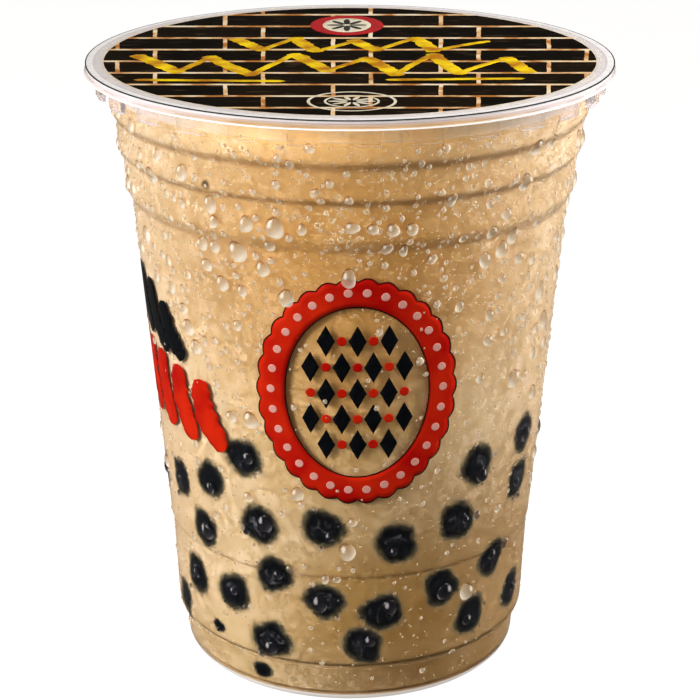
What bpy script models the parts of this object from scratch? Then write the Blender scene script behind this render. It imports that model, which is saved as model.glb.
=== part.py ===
"""Bubble tea: milk tea with tapioca pearls in a clear thin-walled cup, closed with a sealed film.

The cup stands on its foot ring at the origin, +Z up, and its front faces -Y.
The driving size is the rim, 95 mm across, the size that cup sealing machines take.
"""

import math
import random

import bmesh
import bpy
from mathutils import Matrix

MM = 0.001

# Rim: the flat ring that the film is sealed to
RIM_RADIUS = 47.5 * MM
RIM_THICKNESS = 1.1 * MM
CUP_HEIGHT = 113.3 * MM
MOUTH_CHAMFER = 0.8 * MM

# Stacking lugs that hang under the rim
LUG_OUTER_RADIUS = 45.8 * MM
LUG_THICKNESS = 1.0 * MM
LUG_HEIGHT = 3.0 * MM

# Wall: a neck, two bands below it, a long taper with a crease, and a rounded lower edge
WALL = 0.8 * MM
NECK_RADIUS = 43.0 * MM
NECK_BOTTOM = 105.5 * MM
STEP = 1.0 * MM
UPPER_BAND_TOP = 104.4 * MM
UPPER_BAND_BOTTOM = 98.9 * MM
LOWER_BAND_TOP = 98.0 * MM
LOWER_BAND_BOTTOM = 91.4 * MM
TAPER_TOP = 89.6 * MM
TAPER_TOP_RADIUS = 39.7 * MM
CREASE_HEIGHT = 27.0 * MM
CREASE_RADIUS = 34.4 * MM
CREASE_DEPTH = 0.3 * MM
BODY_BOTTOM = 9.2 * MM
BODY_BOTTOM_RADIUS = 33.3 * MM
BODY_CORNER = 2.0 * MM

# Foot: a ring to stand on, round a raised floor
FOOT_TOP = 7.3 * MM
FOOT_TOP_RADIUS = 31.9 * MM
FOOT_RADIUS = 31.7 * MM
FOOT_CORNER = 2.5 * MM
FOOT_RING_INNER = 27.5 * MM
FLOOR_RISE = 1.8 * MM
FLOOR_THICKNESS = 1.0 * MM

# Film: sealed over the mouth
FILM_RADIUS = 47.3 * MM
FILM_THICKNESS = 0.4 * MM

# Contents, which keep this far from the cup and from each other
GAP = 0.3 * MM
TEA_LEVEL = 109.1 * MM
PEARL_RADIUS = 4.2 * MM
PEARL_UNEVENNESS = 0.07
PEARL_PRESS = 1.5 * MM
CORE_INSET = 5.0 * MM
CORE_BOTTOM = 5.5 * MM
CORE_SHOULDER = 46.0 * MM
CORE_TOP = 50.0 * MM

# Pearls against the front of the wall: degrees from the front, + to the right, and height in mm
FRONT_PEARLS = (
    (-32, 48.6), (40, 45.9), (63, 47.7),
    (-83, 36.4), (-63, 38.6), (-46, 41.8), (62, 38.6),
    (-51, 30.9), (-28, 35.7), (-8, 36.7), (14, 33.3), (34, 35.6),
    (-24, 25.9), (30, 22.4), (51, 24.6),
    (-59, 19.4), (-40, 19.8), (-8, 21.6), (10, 19.2),
    (-72, 11.1), (-48, 11.0), (-26, 12.1), (4, 12.6), (42, 14.6), (66, 14.6),
    (-31, 4.4),
)

# Pearls round the back, in staggered rows that drift a little
BACK_START = 84
BACK_SPAN = 190
BACK_ROWS = 5
BACK_PER_ROW = 5
BACK_BOTTOM = 10.5 * MM
BACK_PITCH = 8.6 * MM
DRIFT_ANGLE = 4
DRIFT_HEIGHT = 1.8 * MM
SEED = 7

CUP_SEGMENTS = 56
TEA_SEGMENTS = 40
CORE_SEGMENTS = 24
PEARL_SIDES = 8


def clear_scene():
    for obj in list(bpy.data.objects):
        bpy.data.objects.remove(obj)


def material(name, colour, roughness, alpha=1.0):
    made = bpy.data.materials.new(name)
    made.use_nodes = True
    shader = made.node_tree.nodes["Principled BSDF"]
    shader.inputs["Base Color"].default_value = (*colour, 1.0)
    shader.inputs["Roughness"].default_value = roughness
    shader.inputs["Metallic"].default_value = 0.0
    shader.inputs["Alpha"].default_value = alpha
    made.diffuse_color = (*colour, alpha)
    return made


def arc(radius, height, bend, start, end, steps):
    """Points of an outline on an arc of radius bend round (radius, height), from start to end in degrees."""
    points = []
    for step in range(steps + 1):
        turn = math.radians(start + (end - start) * step / steps)
        points.append((radius + bend * math.cos(turn), height + bend * math.sin(turn)))
    return points


def wall_outline(inset):
    """The stepped wall from the neck down to the crease, moved inwards by inset."""
    outline = [
        (NECK_RADIUS, NECK_BOTTOM),
        (NECK_RADIUS - STEP, UPPER_BAND_TOP),
        (NECK_RADIUS - STEP, UPPER_BAND_BOTTOM),
        (NECK_RADIUS - 2 * STEP, LOWER_BAND_TOP),
        (TAPER_TOP_RADIUS + STEP, LOWER_BAND_BOTTOM),
        (TAPER_TOP_RADIUS, TAPER_TOP),
        (CREASE_RADIUS, CREASE_HEIGHT),
        (CREASE_RADIUS - CREASE_DEPTH, CREASE_HEIGHT - 2 * CREASE_DEPTH),
    ]
    return [(radius - inset, height) for radius, height in outline]


def outside_outline():
    """The outside of the cup, from the rim's upper edge down to the middle of the underside."""
    bullnose = RIM_THICKNESS / 2
    underside = CUP_HEIGHT - RIM_THICKNESS
    corner = BODY_BOTTOM_RADIUS - BODY_CORNER
    undercut = -math.degrees(math.acos((FOOT_TOP_RADIUS - corner) / BODY_CORNER))
    return [
        *arc(RIM_RADIUS - bullnose, CUP_HEIGHT - bullnose, bullnose, 90, -90, 4),
        (LUG_OUTER_RADIUS, underside),
        (LUG_OUTER_RADIUS - LUG_THICKNESS, underside),
        (NECK_RADIUS, underside),
        *wall_outline(0),
        *arc(corner, BODY_BOTTOM, BODY_CORNER, 0, undercut, 3),
        *arc(FOOT_RADIUS - FOOT_CORNER, FOOT_CORNER, FOOT_CORNER, 0, -90, 3),
        (FOOT_RING_INNER, 0),
        (FOOT_RING_INNER - FLOOR_THICKNESS, FLOOR_RISE),
        (0, FLOOR_RISE),
    ]


def inside_outline(clearance, top):
    """The inside of the cup from the middle of the floor up to the height top, moved in by clearance."""
    inset = WALL + clearance
    floor = FLOOR_RISE + FLOOR_THICKNESS + clearance
    return [
        (0, floor),
        (FOOT_RING_INNER - 2 * FLOOR_THICKNESS - clearance, floor),
        *arc(FOOT_RADIUS - FOOT_CORNER, FOOT_CORNER, FOOT_CORNER - inset, -90, 0, 2),
        (FOOT_TOP_RADIUS - inset, FOOT_TOP),
        *arc(BODY_BOTTOM_RADIUS - BODY_CORNER, BODY_BOTTOM, BODY_CORNER - inset, -60, 0, 2),
        *reversed(wall_outline(inset)),
        (NECK_RADIUS - inset, top),
    ]


def inside_radius(height):
    """The radius of the cup's inside at a height in the body."""
    outline = inside_outline(0, TEA_LEVEL)[2:]
    for (low_radius, low), (high_radius, high) in zip(outline, outline[1:]):
        if low <= height <= high:
            share = (height - low) / (high - low)
            return low_radius + share * (high_radius - low_radius)
    raise ValueError(f"no wall at {height}")


def turned(name, outline, segments, shade):
    """A closed solid turned about Z from an outline of (radius, height) points."""
    shape = bmesh.new()
    points = [shape.verts.new((radius, 0, height)) for radius, height in outline]
    edges = [shape.edges.new(pair) for pair in zip(points, points[1:])]
    if outline[0][0] > 0:
        edges.append(shape.edges.new((points[-1], points[0])))
    bmesh.ops.spin(
        shape, geom=points + edges, axis=(0, 0, 1), cent=(0, 0, 0),
        angle=math.tau, steps=segments, use_merge=True,
    )
    bmesh.ops.remove_doubles(shape, verts=shape.verts, dist=0.001 * MM)
    bmesh.ops.recalc_face_normals(shape, faces=shape.faces)
    return placed(name, shape, shade)


def placed(name, shape, shade):
    """The bmesh as an object in the scene."""
    mesh = bpy.data.meshes.new(name)
    shape.to_mesh(mesh)
    shape.free()
    mesh.materials.append(shade)
    obj = bpy.data.objects.new(name, mesh)
    bpy.context.scene.collection.objects.link(obj)
    return obj


def round_shading(obj):
    obj.data.shade_smooth()
    obj.data.set_sharp_from_angle(angle=math.radians(30))


def combine(obj, operation, pieces):
    """Joins obj with all the pieces, or cuts it by them, in one Boolean, and removes the pieces."""
    group = bpy.data.collections.new("pieces")
    for piece in pieces:
        group.objects.link(piece)
    modifier = obj.modifiers.new("combine", "BOOLEAN")
    modifier.operation = operation
    modifier.operand_type = "COLLECTION"
    modifier.collection = group
    modifier.solver = "EXACT"
    graph = bpy.context.evaluated_depsgraph_get()
    result = bpy.data.meshes.new_from_object(obj.evaluated_get(graph))
    obj.modifiers.clear()
    obj.data = result
    for piece in pieces:
        bpy.data.objects.remove(piece)
    bpy.data.collections.remove(group)


def keep_largest_body(obj):
    """Drops scraps that a cut left loose."""
    shape = bmesh.new()
    shape.from_mesh(obj.data)
    waiting = set(shape.verts)
    bodies = []
    while waiting:
        body = {waiting.pop()}
        edge_of_body = set(body)
        while edge_of_body:
            beside = {edge.other_vert(vert) for vert in edge_of_body for edge in vert.link_edges}
            edge_of_body = beside - body
            body |= edge_of_body
        waiting -= body
        bodies.append(body)
    bodies.sort(key=len)
    for scrap in bodies[:-1]:
        bmesh.ops.delete(shape, geom=list(scrap), context="VERTS")
    shape.to_mesh(obj.data)
    shape.free()
    print(obj.name, "loose scraps dropped:", len(bodies) - 1)


def cup(shade):
    """The shell: outside, inside, and lugs drawn down from every second face under the rim."""
    outline = outside_outline() + inside_outline(0, CUP_HEIGHT - MOUTH_CHAMFER)
    outline.append((NECK_RADIUS - WALL + MOUTH_CHAMFER, CUP_HEIGHT))
    obj = turned("cup", outline, CUP_SEGMENTS, shade)
    shape = bmesh.new()
    shape.from_mesh(obj.data)
    middle = LUG_OUTER_RADIUS - LUG_THICKNESS / 2
    ring = []
    for face in shape.faces:
        centre = face.calc_center_median()
        if centre.z > NECK_BOTTOM and face.normal.z < -0.9 and abs(centre.xy.length - middle) < LUG_THICKNESS / 4:
            ring.append(face)
    ring.sort(key=lambda face: math.atan2(face.calc_center_median().y, face.calc_center_median().x))
    lugs = bmesh.ops.extrude_discrete_faces(shape, faces=ring[::2])["faces"]
    corners = list({corner for face in lugs for corner in face.verts})
    bmesh.ops.translate(shape, verts=corners, vec=(0, 0, -LUG_HEIGHT))
    shape.to_mesh(obj.data)
    shape.free()
    round_shading(obj)


def seal_film(shade):
    underside = CUP_HEIGHT + GAP
    top = underside + FILM_THICKNESS
    outline = [(0, underside), (FILM_RADIUS, underside), (FILM_RADIUS, top), (0, top)]
    round_shading(turned("seal_film", outline, CUP_SEGMENTS, shade))


def pearl_places():
    """Angle in degrees and height of each pearl that lies against the wall."""
    draw = random.Random(SEED)
    places = [(angle, height * MM) for angle, height in FRONT_PEARLS]
    for row in range(BACK_ROWS):
        for number in range(BACK_PER_ROW):
            share = (number + 0.25 + 0.5 * (row % 2)) / BACK_PER_ROW
            angle = BACK_START + BACK_SPAN * share + draw.uniform(-DRIFT_ANGLE, DRIFT_ANGLE)
            height = BACK_BOTTOM + BACK_PITCH * row + draw.uniform(-DRIFT_HEIGHT, DRIFT_HEIGHT)
            places.append((angle, height))
    return places


def pearls(grow, shade):
    """The pearls, each a ball of few sides pressed against the wall, with grow added to its radius."""
    draw = random.Random(SEED)
    made = []
    for angle, height in pearl_places():
        size = PEARL_RADIUS * draw.uniform(1 - PEARL_UNEVENNESS, 1 + PEARL_UNEVENNESS)
        reach = inside_radius(height) - GAP - size + PEARL_PRESS
        face_the_wall = Matrix.Rotation(math.radians(angle), 4, "Z") @ Matrix.Rotation(math.pi / 2, 4, "X")
        spin = Matrix.Rotation(draw.uniform(0, math.pi), 4, "Z")
        shape = bmesh.new()
        bmesh.ops.create_uvsphere(
            shape, u_segments=PEARL_SIDES, v_segments=PEARL_SIDES // 2, radius=size + grow,
            matrix=Matrix.Translation((0, 0, height)) @ face_the_wall @ Matrix.Translation((0, 0, reach)) @ spin,
        )
        made.append(placed("pearl", shape, shade))
    return made


def pearl_core(name, grow, shade):
    """The middle of the heap, where the pearls lie out of sight."""
    shoulder = inside_radius(CORE_SHOULDER) - CORE_INSET + grow
    outline = [
        (0, CORE_BOTTOM - grow),
        (inside_radius(BODY_BOTTOM) - CORE_INSET + grow, CORE_BOTTOM - grow),
        (shoulder, CORE_SHOULDER),
        (shoulder / 2, CORE_TOP + grow),
        (0, CORE_TOP + grow),
    ]
    return turned(name, outline, CORE_SEGMENTS, shade)


def tea_body(name, shade):
    """All that the cup holds, up to the level of the tea."""
    return turned(name, [*inside_outline(GAP, TEA_LEVEL), (0, TEA_LEVEL)], TEA_SEGMENTS, shade)


def tapioca_pearls(shade):
    obj = pearl_core("tapioca_pearls", 0, shade)
    combine(obj, "UNION", pearls(0, shade))
    combine(obj, "INTERSECT", [tea_body("inside", shade)])
    keep_largest_body(obj)


def milk_tea(shade, pearl_shade):
    obj = tea_body("milk_tea", shade)
    combine(obj, "DIFFERENCE", [*pearls(GAP, pearl_shade), pearl_core("core", GAP, pearl_shade)])
    keep_largest_body(obj)


def main():
    clear_scene()
    plastic = material("clear plastic", (0.92, 0.93, 0.95), 0.08, 0.35)
    printed_film = material("printed film", (0.03, 0.025, 0.02), 0.3)
    tea = material("milk tea", (0.60, 0.43, 0.24), 0.4)
    tapioca = material("tapioca", (0.012, 0.010, 0.010), 0.15)
    cup(plastic)
    seal_film(printed_film)
    tapioca_pearls(tapioca)
    milk_tea(tea, tapioca)


main()
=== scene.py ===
# %% [markdown]
# # Bubble tea in a clear cup
# Milk tea with black tapioca pearls fills a thin, tapered plastic cup. A printed film is sealed
# over its rim, and cold tea has made water drops settle all over the outside. The solids come from
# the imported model, and this file gives them their looks, one piece at a time.

# %% Load the frame
import math
import random

import bmesh
import bpy
import numpy as np
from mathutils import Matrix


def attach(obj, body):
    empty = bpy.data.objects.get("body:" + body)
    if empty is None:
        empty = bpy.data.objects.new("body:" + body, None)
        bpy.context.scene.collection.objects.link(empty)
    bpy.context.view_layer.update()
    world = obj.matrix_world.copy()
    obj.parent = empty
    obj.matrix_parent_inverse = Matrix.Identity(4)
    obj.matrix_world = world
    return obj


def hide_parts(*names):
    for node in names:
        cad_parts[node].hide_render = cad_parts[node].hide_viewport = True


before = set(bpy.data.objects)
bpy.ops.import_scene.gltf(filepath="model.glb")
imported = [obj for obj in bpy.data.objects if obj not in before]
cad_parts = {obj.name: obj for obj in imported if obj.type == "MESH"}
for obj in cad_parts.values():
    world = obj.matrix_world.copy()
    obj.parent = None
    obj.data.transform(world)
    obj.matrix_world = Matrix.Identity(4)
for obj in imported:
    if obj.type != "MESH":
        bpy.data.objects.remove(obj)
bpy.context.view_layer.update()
print("nodes:", sorted(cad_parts))

# %% [markdown]
# ## Camera
# The picture was taken with a long lens, a little above the cup and looking down on it. The wall's
# step lines and the rim are ellipses, and how round they are gives the angle. A long lens from
# 0.4 m keeps the taper of the cup almost free of perspective.

# %% Place the camera
MM = 0.001
LENS = 108
CAMERA_PLACE = (0, -371.55 * MM, 195.66 * MM)
LOOKS_DOWN = math.radians(20.377)

scene = bpy.context.scene
camera = bpy.data.objects.new("camera", bpy.data.cameras.new("camera"))
camera.data.lens = LENS
camera.location = CAMERA_PLACE
camera.rotation_euler = (math.pi / 2 - LOOKS_DOWN, 0, 0)
scene.collection.objects.link(camera)
scene.camera = camera
scene.view_settings.view_transform = "Standard"
print("camera", LENS, "mm")

# %% [markdown]
# ## Shader helpers
# A material here is a small tree of nodes. These helpers add a node with its sockets filled, so
# that each finish below reads as a short recipe.

# %% Helpers for materials
def new_material(name):
    """A material, its tree and its shader."""
    made = bpy.data.materials.new(name)
    made.use_nodes = True
    return made, made.node_tree, made.node_tree.nodes["Principled BSDF"]


def fill(tree, node, values):
    """Sets sockets by name or number, and links those whose value is another node's output."""
    for name, value in values.items():
        socket = node.inputs[name]
        if isinstance(value, bpy.types.NodeSocket):
            tree.links.new(value, socket)
        else:
            socket.default_value = (*value, 1) if socket.type == "RGBA" else value
    return node


def new_node(tree, kind, values):
    """A new node with its sockets filled."""
    return fill(tree, tree.nodes.new("ShaderNode" + kind), values)


def ray_is(tree, kind):
    """1 for the Camera or Shadow rays, else 0."""
    return tree.nodes.new("ShaderNodeLightPath").outputs[f"Is {kind} Ray"]


def noise(tree, vector, scale, detail=2.0, roughness=0.5, distortion=0.0):
    values = {"Vector": vector, "Scale": scale, "Detail": detail}
    values |= {"Roughness": roughness, "Distortion": distortion}
    return new_node(tree, "TexNoise", values).outputs["Fac"]


def ramp(tree, factor, stops):
    """A colour ramp through (position, colour) stops."""
    node = tree.nodes.new("ShaderNodeValToRGB")
    elements = node.color_ramp.elements
    while len(elements) < len(stops):
        elements.new(0.5)
    for element, (position, colour) in zip(elements, stops):
        element.position = position
        element.color = (*colour, 1)
    tree.links.new(factor, node.inputs["Fac"])
    return node.outputs["Color"]


def spread(tree, value, low, high, to_low=0.0, to_high=1.0):
    """The value moved from the range low to high onto the range to_low to to_high, and kept in it."""
    values = {"Value": value, "From Min": low, "From Max": high, "To Min": to_low, "To Max": to_high}
    return new_node(tree, "MapRange", values).outputs["Result"]


def calc(tree, operation, first, second=0.0):
    node = tree.nodes.new("ShaderNodeMath")
    node.operation = operation
    return fill(tree, node, {0: first, 1: second}).outputs["Value"]


def times(tree, first, *others):
    for other in others:
        first = calc(tree, "MULTIPLY", first, other)
    return first


def plus(tree, first, *others):
    for other in others:
        first = calc(tree, "ADD", first, other)
    return first


def off_by(tree, value, level):
    """How far a value is from a level, either way."""
    return calc(tree, "ABSOLUTE", calc(tree, "SUBTRACT", value, level))


def mixed(tree, factor, first, second, blend="MIX"):
    """Two colours mixed by a factor. With MULTIPLY, the second one tints the first."""
    node = tree.nodes.new("ShaderNodeMix")
    node.data_type = "RGBA"
    node.blend_type = blend
    return fill(tree, node, {0: factor, 6: first, 7: second}).outputs[2]


def places(tree):
    """Each point's place on the object, in metres."""
    return tree.nodes.new("ShaderNodeTexCoord").outputs["Object"]


def attribute_of(tree, name):
    """A number that the mesh stores at each vertex."""
    node = tree.nodes.new("ShaderNodeAttribute")
    node.attribute_name = name
    return node.outputs["Fac"]


def height_of(tree, vector):
    return new_node(tree, "SeparateXYZ", {"Vector": vector}).outputs["Z"]


def aside_of(tree, vector, near, far):
    """0 in front of the cup and 1 at its sides, between two distances from its middle."""
    apart = new_node(tree, "SeparateXYZ", {"Vector": vector})
    return spread(tree, calc(tree, "ABSOLUTE", apart.outputs["X"]), near * MM, far * MM)


def bump(tree, shader, height, strength, distance):
    values = {"Height": height, "Strength": strength, "Distance": distance}
    fill(tree, shader, {"Normal": new_node(tree, "Bump", values).outputs["Normal"]})


def let_lamps_through(tree, shader):
    """Shadow rays pass a clear surface, so that what lies behind it is lit."""
    clear = tree.nodes.new("ShaderNodeBsdfTransparent")
    either = new_node(tree, "MixShader", {
        0: ray_is(tree, "Shadow"), 1: shader.outputs["BSDF"], 2: clear.outputs["BSDF"],
    })
    fill(tree, tree.nodes["Material Output"], {"Surface": either.outputs["Shader"]})


print("shader helpers ready")

# %% [markdown]
# ## Floor, sky and lamps
# The cup stands alone on white. A white sky lights it from all round, a soft box from the upper
# left makes the bright side, and a weaker one on the right keeps the far edge from going dark.
# The sky is dimmer as a light than as a backdrop, so that the boxes can shape the cup.

# %% Set up the floor, the sky and two soft boxes
SKY_SEEN = (1.0, 1.0, 1.0)
SKY_LIGHT = (0.42, 0.39, 0.35)
FLOOR_GREY = 0.2
FLOOR_GLOW = 0.9
FLOOR_REACH = 3.0
KEY_PLACE = (-0.50, -0.285, 0.30)
KEY_SIZE, KEY_POWER = 0.26, 2.95
FILL_PLACE = (0.24, -0.02, 0.22)
FILL_SIZE, FILL_POWER = 0.12, 0.66


def pale_floor():
    mesh = bpy.data.meshes.new("floor")
    corners = [(FLOOR_REACH * x, FLOOR_REACH * y, 0) for x, y in ((-1, -1), (1, -1), (1, 1), (-1, 1))]
    mesh.from_pydata(corners, [], [(0, 1, 2, 3)])
    floor = bpy.data.objects.new("floor", mesh)
    scene.collection.objects.link(floor)
    shade, tree, shader = new_material("pale floor")
    fill(tree, shader, {
        "Base Color": (FLOOR_GREY,) * 3, "Roughness": 0.9, "Specular IOR Level": 0.0,
        "Emission Color": (1, 1, 1),
        "Emission Strength": times(tree, ray_is(tree, "Camera"), FLOOR_GLOW),
    })
    mesh.materials.append(shade)


def white_sky():
    world = bpy.data.worlds.new("white sky")
    world.use_nodes = True
    tree = world.node_tree
    shown = mixed(tree, ray_is(tree, "Camera"), SKY_LIGHT, SKY_SEEN)
    fill(tree, tree.nodes["Background"], {"Color": shown})
    scene.world = world


def soft_box(name, place, aim, size, power):
    lamp = bpy.data.lights.new(name, "AREA")
    lamp.size = size
    lamp.energy = power
    box = bpy.data.objects.new(name, lamp)
    box.location = place
    toward = np.subtract(aim, place)
    box.rotation_euler = (
        math.atan2(math.hypot(toward[0], toward[1]), -toward[2]), 0, math.atan2(-toward[0], toward[1])
    )
    scene.collection.objects.link(box)


pale_floor()
white_sky()
soft_box("key", KEY_PLACE, (0, 0, 60 * MM), KEY_SIZE, KEY_POWER)
soft_box("fill", FILL_PLACE, (0, 0, 90 * MM), FILL_SIZE, FILL_POWER)
print("sky light", SKY_LIGHT)

# %% [markdown]
# ## The wall's outline
# The cup is a turned shape, so one outline of radius and height says all about it. Under the flat
# rim comes a neck, then two shallow steps, a long taper, a crease and a rounded foot. A moulded
# wall has no sharp corners, so each corner of the outline is rounded by a short curve.

# %% Sizes of the cup in millimetres
RIM_RADIUS = 47.5
RIM_THICKNESS = 1.1
CUP_HEIGHT = 113.3
WALL = 0.8
NECK_RADIUS = 43.0
CORNER_BEND = 0.55
CORNER_STEPS = 4
LEG_SHARE = 0.42
WALL_CORNERS = [
    (43.0, 105.5), (42.0, 104.4), (42.0, 98.9), (41.0, 98.0),
    (40.7, 91.4), (39.7, 89.6), (34.4, 27.0), (34.1, 26.4),
]
BODY_CORNER = (31.3, 9.2, 2.0)
FOOT_CORNER = (29.2, 2.5, 2.5)
FOOT_RING_INNER = 27.5
FLOOR_RISE = 1.8
FLOOR_THICKNESS = 1.0
TEA_LEVEL = 109.1


def arc(radius, height, bend, start, end, steps):
    """Points on an arc round (radius, height), from start to end in degrees."""
    turns = [math.radians(start + (end - start) * step / steps) for step in range(steps + 1)]
    return [(radius + bend * math.cos(turn), height + bend * math.sin(turn)) for turn in turns]


def softened(points, bend):
    """The outline with each inner corner replaced by a curve that takes up a part of its legs."""
    soft = [points[0]]
    for before, corner, after in zip(points, points[1:], points[2:]):
        before, corner, after = map(np.array, (before, corner, after))
        back, forward = before - corner, after - corner
        cut = min(bend, LEG_SHARE * np.linalg.norm(back), LEG_SHARE * np.linalg.norm(forward))
        start = corner + cut * back / np.linalg.norm(back)
        end = corner + cut * forward / np.linalg.norm(forward)
        for step in range(CORNER_STEPS + 1):
            share = step / CORNER_STEPS
            bent = (1 - share) ** 2 * start + 2 * share * (1 - share) * corner + share ** 2 * end
            soft.append(tuple(bent))
    soft.append(points[-1])
    return soft


def wall_outline(inset, top):
    """The wall from top down to the foot ring, moved inwards by inset."""
    stepped = [(radius - inset, height) for radius, height in WALL_CORNERS]
    radius, height, bend = BODY_CORNER
    body = arc(radius, height, bend - inset, 0, -70, 5)
    radius, height, bend = FOOT_CORNER
    foot = arc(radius, height, bend - inset, 0, -90, 5)
    return [*softened([(NECK_RADIUS - inset, top), *stepped, body[0]], CORNER_BEND), *body[1:], *foot]


OUTSIDE = np.array(wall_outline(0, CUP_HEIGHT - RIM_THICKNESS))[::-1]
INSIDE = np.array(wall_outline(WALL, CUP_HEIGHT))[::-1]


def inside_radius(height):
    return np.interp(height, INSIDE[:, 1], INSIDE[:, 0])


def outside_radius(height):
    return np.interp(height, OUTSIDE[:, 1], OUTSIDE[:, 0])


def on_wall(angle, height, lift):
    """Places in metres at an angle from the front, a height and a lift off the wall."""
    radius = outside_radius(height) + lift
    return np.stack([radius * np.sin(angle), -radius * np.cos(angle), height], -1) * MM


print("outline points:", len(OUTSIDE), "outside and", len(INSIDE), "inside")

# %% [markdown]
# ## Turning a shape
# Blender's Screw modifier could turn an outline, but building the rings in code keeps track of
# which face belongs to which step of the outline. The lugs and the film's rings use that.

# %% Helpers that make meshes
def add_piece(name, vertices, faces, shades, smooth_angle=30):
    """A mesh object in the scene, shaded smooth but for its sharp edges."""
    mesh = bpy.data.meshes.new(name)
    mesh.from_pydata([tuple(place) for place in vertices], [], faces)
    for shade in shades:
        mesh.materials.append(shade)
    mesh.shade_smooth()
    mesh.set_sharp_from_angle(angle=math.radians(smooth_angle))
    piece = bpy.data.objects.new(name, mesh)
    scene.collection.objects.link(piece)
    return piece


def turned(outline, segments, closed=False):
    """Vertices in metres and faces of an outline in millimetres, turned about Z."""
    vertices, rings = [], []
    for radius, height in outline:
        count = segments if radius > 0 else 1
        rings.append(range(len(vertices), len(vertices) + count))
        for step in range(count):
            turn = math.tau * step / segments
            vertices.append((radius * MM * math.cos(turn), radius * MM * math.sin(turn), height * MM))
    faces = []
    for ring, following in zip(rings, rings[1:] + rings[:1] if closed else rings[1:]):
        for step in range(segments):
            after = (step + 1) % segments
            corners = [ring[step % len(ring)], following[step % len(following)]]
            corners += [following[after % len(following)], ring[after % len(ring)]]
            faces.append(list(dict.fromkeys(corners)))
    return vertices, faces


def face_outwards(shape, mesh):
    """Turns all faces of an edited shape outwards and writes it back to its mesh."""
    bmesh.ops.recalc_face_normals(shape, faces=shape.faces)
    shape.to_mesh(mesh)
    shape.free()


def store(piece, label, values):
    """Keeps a number for each vertex, which a shader reads by its label."""
    attribute = piece.data.attributes.new(label, "FLOAT", "POINT")
    attribute.data.foreach_set("value", values.astype(np.float32).reshape(-1))


def count_of(piece):
    return f"{piece.name}: {len(piece.data.polygons)} faces"


print("mesh helpers ready")

# %% [markdown]
# ## Cup
# A cup like this is injection moulded in clear plastic, 0.8 mm thick. Small lugs hang under the rim
# so that stacked cups part easily, and the rim ends in a rounded lip. One outline turned about the
# axis makes it all but the lugs. It has ten faces for each lug and its gap, and five of them are
# drawn down.
#
# Glass-like shading lets the tea show through. Real plastic bends light by an index of 1.49, but it
# also touches the tea, which an index of 1.12 stands for: a higher one would lay a grey veil of
# reflections over the black pearls. The rim holds air and keeps a higher index, and the lugs have
# the lowest. Thick parts of such a cup look milky, so the share of a pale haze follows the height,
# with its own tints up the rim. The white line under the lip is a painted highlight: there the haze
# is nearly opaque and whitened, with a little painted glow. The foot ring has a little painted glow
# too, which stands for light that the plastic carries along the wall. The haze is a table of heights
# because a turned shape is the same all the way round.

# %% Make the cup
LUGS = 28
LUG_FACES = 5
CUP_SEGMENTS = LUGS * LUG_FACES * 2
LUG_OUTER_RADIUS = 45.8
LUG_THICKNESS = 1.0
LUG_HEIGHT = 3.0
MOUTH_CHAMFER = 0.8
RIM_TOP = 113.68
RIM_UNDER = CUP_HEIGHT - RIM_THICKNESS
MILKY_FROM, MILKY_TO = 109.0, 113.8
LIP = 0.28
LIP_PAINTED_GLOW = 0.58
FOOT_PAINTED_GLOW = 0.28
WALL_INDEX, RIM_INDEX, LUG_INDEX = 1.12, 1.36, 1.05
# Share of the pale haze by height. The band of 0.97 just under the rim is a painted highlight: with the
# lip mask it makes the lip's white line.
MILKINESS_AND_LIP_HIGHLIGHT = [
    (109.1, 0.0), (109.22, 0.40), (109.38, 0.20), (RIM_UNDER - 0.2, 0.24), (RIM_UNDER - 0.05, 0.97),
    (RIM_UNDER + 0.3, 0.97), (RIM_UNDER + 0.4, 0.65), (113.2, 0.7), (RIM_TOP, 0.85),
]
RIM_TINTS = [
    (109.3, (0.95, 0.89, 0.82)), (109.5, (1.0, 0.91, 0.74)), (112.1, (1.0, 0.91, 0.74)),
    (112.3, (0.93, 0.90, 0.93)), (112.5, (0.93, 0.90, 0.93)), (112.6, (0.62, 0.37, 0.14)),
    (112.95, (0.64, 0.40, 0.20)), (113.2, (0.66, 0.46, 0.36)), (113.45, (0.97, 0.93, 0.97)),
]


def up_the_rim(tree, up, values):
    """A ramp from the tea's level to the top of the rim, through (height, colour) pairs."""
    reach = MILKY_TO - MILKY_FROM
    return ramp(tree, up, [((height - MILKY_FROM) / reach, colour) for height, colour in values])


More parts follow.
